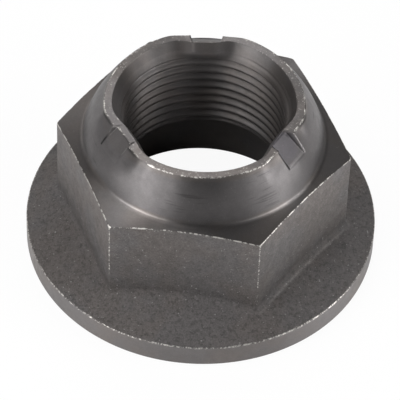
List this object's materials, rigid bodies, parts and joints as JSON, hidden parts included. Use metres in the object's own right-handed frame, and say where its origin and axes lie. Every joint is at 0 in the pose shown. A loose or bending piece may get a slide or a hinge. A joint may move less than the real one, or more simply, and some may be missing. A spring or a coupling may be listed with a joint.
{
  "type": "wheel bearing nut",
  "caption": "Flanged hexagon nut with a thin tapered locking collar crimped at its rim, for clamping a wheel hub and bearing on a stub axle.",
  "frame": {"origin": "centre of the bearing face, on the nut's axis", "axes": "+Z along the nut's axis from the bearing face to the collar's rim; +Y and -Y are the outward normals of two opposite flats of the hexagon"},
  "size_m": [0.0498, 0.0498, 0.0263],
  "materials": {
    "phosphated_steel": "dark phosphated and oiled forged steel, turned on the collar, its edges worn bright"
  },
  "bodies": {
    "root": {"nut_body": "phosphated_steel"}
  },
  "joints": []
}
